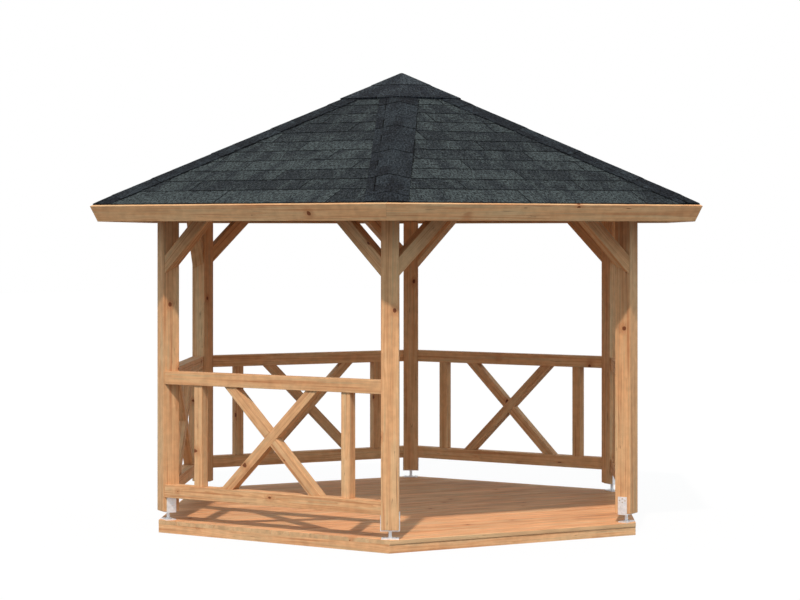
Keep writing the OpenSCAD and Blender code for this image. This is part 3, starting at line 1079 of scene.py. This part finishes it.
# The fill's levels at the horizon and overhead, and the height at which it is full
FILL_ENDS = (0.55, 0.50)
FILL_FULL = 0.45
SENSOR_WIDTH = 36.0
LENS = 99.25
HORIZON_SHIFT = -0.0843
CLIP_END = 200.0
CAMERA_ANGLE = math.radians(242.338)
CAMERA_TURN = math.radians(0.0453)
CAMERA_DISTANCE = 16.6366
CAMERA_HEIGHT = 2.1382


def seen_or_lighting(tree, lighting, seen, output):
    """One shader where the eye or a reflection meets it, another for the light that it gives."""
    path = tree.nodes.new("ShaderNodeLightPath")
    direct = tree.nodes.new("ShaderNodeMath")
    direct.operation = "MAXIMUM"
    tree.links.new(path.outputs["Is Camera Ray"], direct.inputs[0])
    tree.links.new(path.outputs["Is Glossy Ray"], direct.inputs[1])
    either = tree.nodes.new("ShaderNodeMixShader")
    tree.links.new(direct.outputs[0], either.inputs[0])
    tree.links.new(lighting.outputs[0], either.inputs[1])
    tree.links.new(seen.outputs[0], either.inputs[2])
    tree.links.new(either.outputs[0], output.inputs["Surface"])


def white_floor():
    mesh = bpy.data.meshes.new("floor")
    corners = [(-FLOOR_HALF, -FLOOR_HALF), (FLOOR_HALF, -FLOOR_HALF),
               (FLOOR_HALF, FLOOR_HALF), (-FLOOR_HALF, FLOOR_HALF)]
    mesh.from_pydata([(x, y, FLOOR_Z) for x, y in corners], [], [(0, 1, 2, 3)])
    floor = in_scene("floor", mesh)
    material = bpy.data.materials.new("floor")
    material.use_nodes = True
    tree = material.node_tree
    tree.nodes.clear()
    pale = tree.nodes.new("ShaderNodeBsdfDiffuse")
    pale.inputs["Color"].default_value = FLOOR_PALE
    bounce = tree.nodes.new("ShaderNodeBsdfDiffuse")
    bounce.inputs["Color"].default_value = FLOOR_BOUNCE
    white = tree.nodes.new("ShaderNodeEmission")
    white.inputs["Strength"].default_value = 1.0
    seen = tree.nodes.new("ShaderNodeMixShader")
    seen.inputs[0].default_value = FLOOR_SHADOW
    tree.links.new(white.outputs[0], seen.inputs[1])
    tree.links.new(pale.outputs[0], seen.inputs[2])
    seen_or_lighting(tree, bounce, seen, tree.nodes.new("ShaderNodeOutputMaterial"))
    mesh.materials.append(material)


def sunlight():
    data = bpy.data.lights.new("sun", "SUN")
    data.energy = SUN_STRENGTH
    data.color = SUN_COLOUR
    data.angle = SUN_ANGLE
    sun = in_scene("sun", data)
    travel = plan(SUN_TRAVEL, math.cos(SUN_ELEVATION), 0, -math.sin(SUN_ELEVATION))
    sun.rotation_mode = "QUATERNION"
    sun.rotation_quaternion = travel.to_track_quat("-Z", "Y")
    sun.location = -SUN_DISTANCE * travel


def fill_light():
    """Light from all round, strongest from a ring at half height, on a background that shows white."""
    world = bpy.data.worlds.new("studio")
    bpy.context.scene.world = world
    world.use_nodes = True
    tree = world.node_tree
    tree.nodes.clear()
    fill = tree.nodes.new("ShaderNodeBackground")
    fill.inputs["Color"].default_value = FILL_COLOUR
    direction = tree.nodes.new("ShaderNodeTexCoord")
    height = tree.nodes.new("ShaderNodeSeparateXYZ")
    tree.links.new(direction.outputs["Generated"], height.inputs[0])
    ring = tree.nodes.new("ShaderNodeValToRGB")
    ring.color_ramp.interpolation = "EASE"
    for stop, level in zip(ring.color_ramp.elements, FILL_ENDS):
        stop.color = (level, level, level, 1)
    middle = ring.color_ramp.elements.new(FILL_FULL)
    middle.color = WHITE
    tree.links.new(height.outputs["Z"], ring.inputs[0])
    strength = tree.nodes.new("ShaderNodeMath")
    strength.operation = "MULTIPLY"
    strength.inputs[1].default_value = FILL_STRENGTH
    tree.links.new(ring.outputs[0], strength.inputs[0])
    tree.links.new(strength.outputs[0], fill.inputs["Strength"])
    white = tree.nodes.new("ShaderNodeBackground")
    white.inputs["Color"].default_value = WHITE
    white.inputs["Strength"].default_value = 1.0
    seen_or_lighting(tree, fill, white, tree.nodes.new("ShaderNodeOutputWorld"))


def camera():
    """Level camera at the photograph's place; the shift gives its horizon."""
    data = bpy.data.cameras.new("camera")
    data.sensor_width = SENSOR_WIDTH
    data.lens = LENS
    data.shift_y = HORIZON_SHIFT
    data.clip_end = CLIP_END
    obj = in_scene("camera", data)
    look = CAMERA_ANGLE + math.pi + CAMERA_TURN
    obj.location = plan(CAMERA_ANGLE, CAMERA_DISTANCE, 0, CAMERA_HEIGHT)
    obj.rotation_mode = "QUATERNION"
    obj.rotation_quaternion = plan(look, 1).to_track_quat("-Z", "Y")
    bpy.context.scene.camera = obj


white_floor()
sunlight()
fill_light()
camera()
bpy.context.scene.view_settings.view_transform = "Standard"
